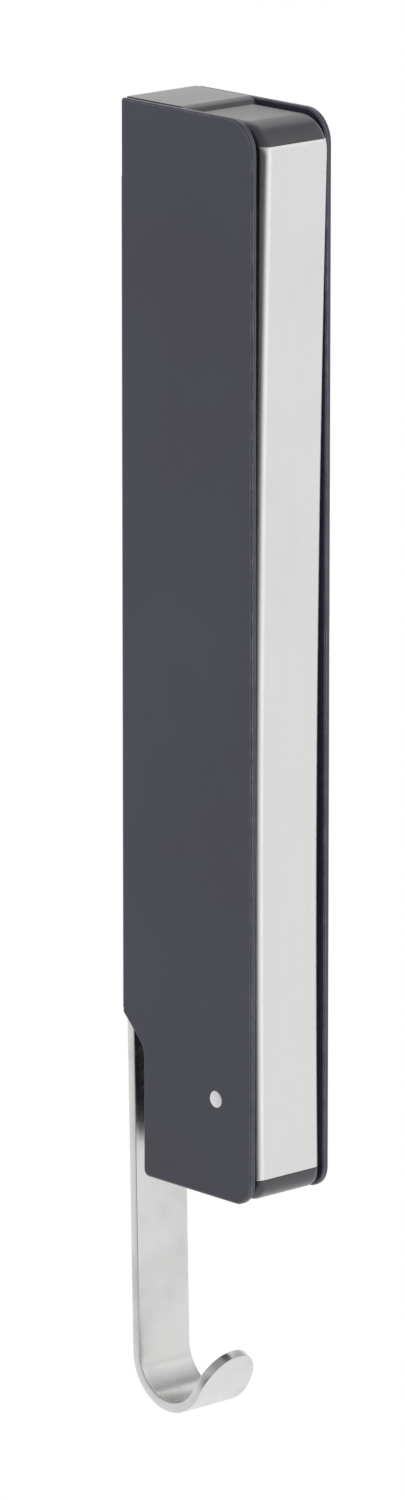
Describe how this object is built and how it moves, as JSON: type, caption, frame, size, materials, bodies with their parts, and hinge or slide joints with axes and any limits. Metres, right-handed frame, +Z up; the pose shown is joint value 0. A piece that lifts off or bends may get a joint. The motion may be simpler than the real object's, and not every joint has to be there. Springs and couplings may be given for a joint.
{
  "type": "folding wall hook",
  "caption": "Slim wall hook with a brushed steel arm that folds out of a dark channel, notched for hangers, over a fixed J hook.",
  "frame": {"origin": "on the wall plane, midway between the two wall screws", "axes": "+Z up along the channel, +Y into the wall, X across; the arm folds out towards -Y"},
  "size_m": [0.032, 0.0627, 0.3937],
  "materials": {
    "anthracite_coat": "fine matt powder coat",
    "anthracite_plastic": "fine moulded grain",
    "strip_steel": "brushed along its length",
    "cover_steel": "brushed along its length",
    "pin_steel": "turned",
    "sleeve_plastic": "smooth",
    "washer_steel": "rolled",
    "magnet_plating": "nickel plated",
    "zinc_steel": "zinc plated",
    "pad_rubber": "matt"
  },
  "bodies": {
    "wall_unit": {"housing_channel": "anthracite_coat", "block_lower": "anthracite_plastic", "block_upper": "anthracite_plastic", "hook_strip": "strip_steel", "pivot_pin": "pin_steel", "thrust_washer_left": "washer_steel", "thrust_washer_right": "washer_steel", "catch_magnet": "magnet_plating", "bump_pad_left": "pad_rubber", "bump_pad_right": "pad_rubber", "stop_pad_left": "pad_rubber", "stop_pad_right": "pad_rubber", "glide_pad_left": "sleeve_plastic", "glide_pad_right": "sleeve_plastic", "strip_screw_lower": "zinc_steel", "strip_screw_upper": "zinc_steel"},
    "arm": {"arm_core": "anthracite_plastic", "arm_cover": "cover_steel", "pivot_sleeve": "sleeve_plastic", "strike_plate": "zinc_steel", "strike_screw": "zinc_steel"}
  },
  "joints": [
    {"name": "arm_fold", "type": "hinge", "parent": "wall_unit", "child": "arm", "pos_m": [0, -0.0454, -0.14335], "axis": [1, 0, 0], "range_deg": [0, 90]}
  ]
}
